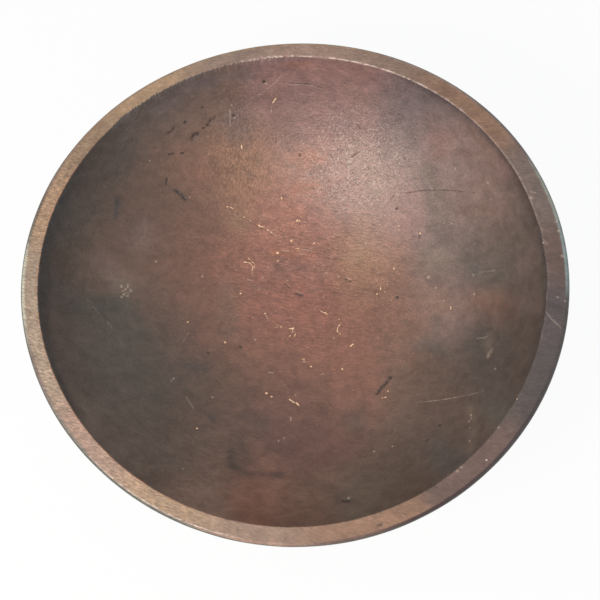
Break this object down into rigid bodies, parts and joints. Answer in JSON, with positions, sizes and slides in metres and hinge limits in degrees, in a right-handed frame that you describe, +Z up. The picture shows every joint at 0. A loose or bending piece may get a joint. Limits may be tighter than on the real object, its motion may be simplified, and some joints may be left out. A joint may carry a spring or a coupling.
{
  "type": "dough bowl",
  "caption": "Wide shallow dough bowl turned from solid wood, gone slightly oval, with a flat thick rim, a rounded outer edge and a small flat foot.",
  "frame": {"origin": "middle of the underside, on the surface that the bowl stands on", "axes": "+X along the grain, which is the bowl's longer diameter; +Y across the grain; +Z up, out of the hollow"},
  "size_m": [0.387, 0.3614, 0.114],
  "materials": {
    "wood": "old waxed and oiled hardwood, satin inside, drier and paler on the rim"
  },
  "bodies": {
    "root": {"bowl": "wood"}
  },
  "joints": []
}
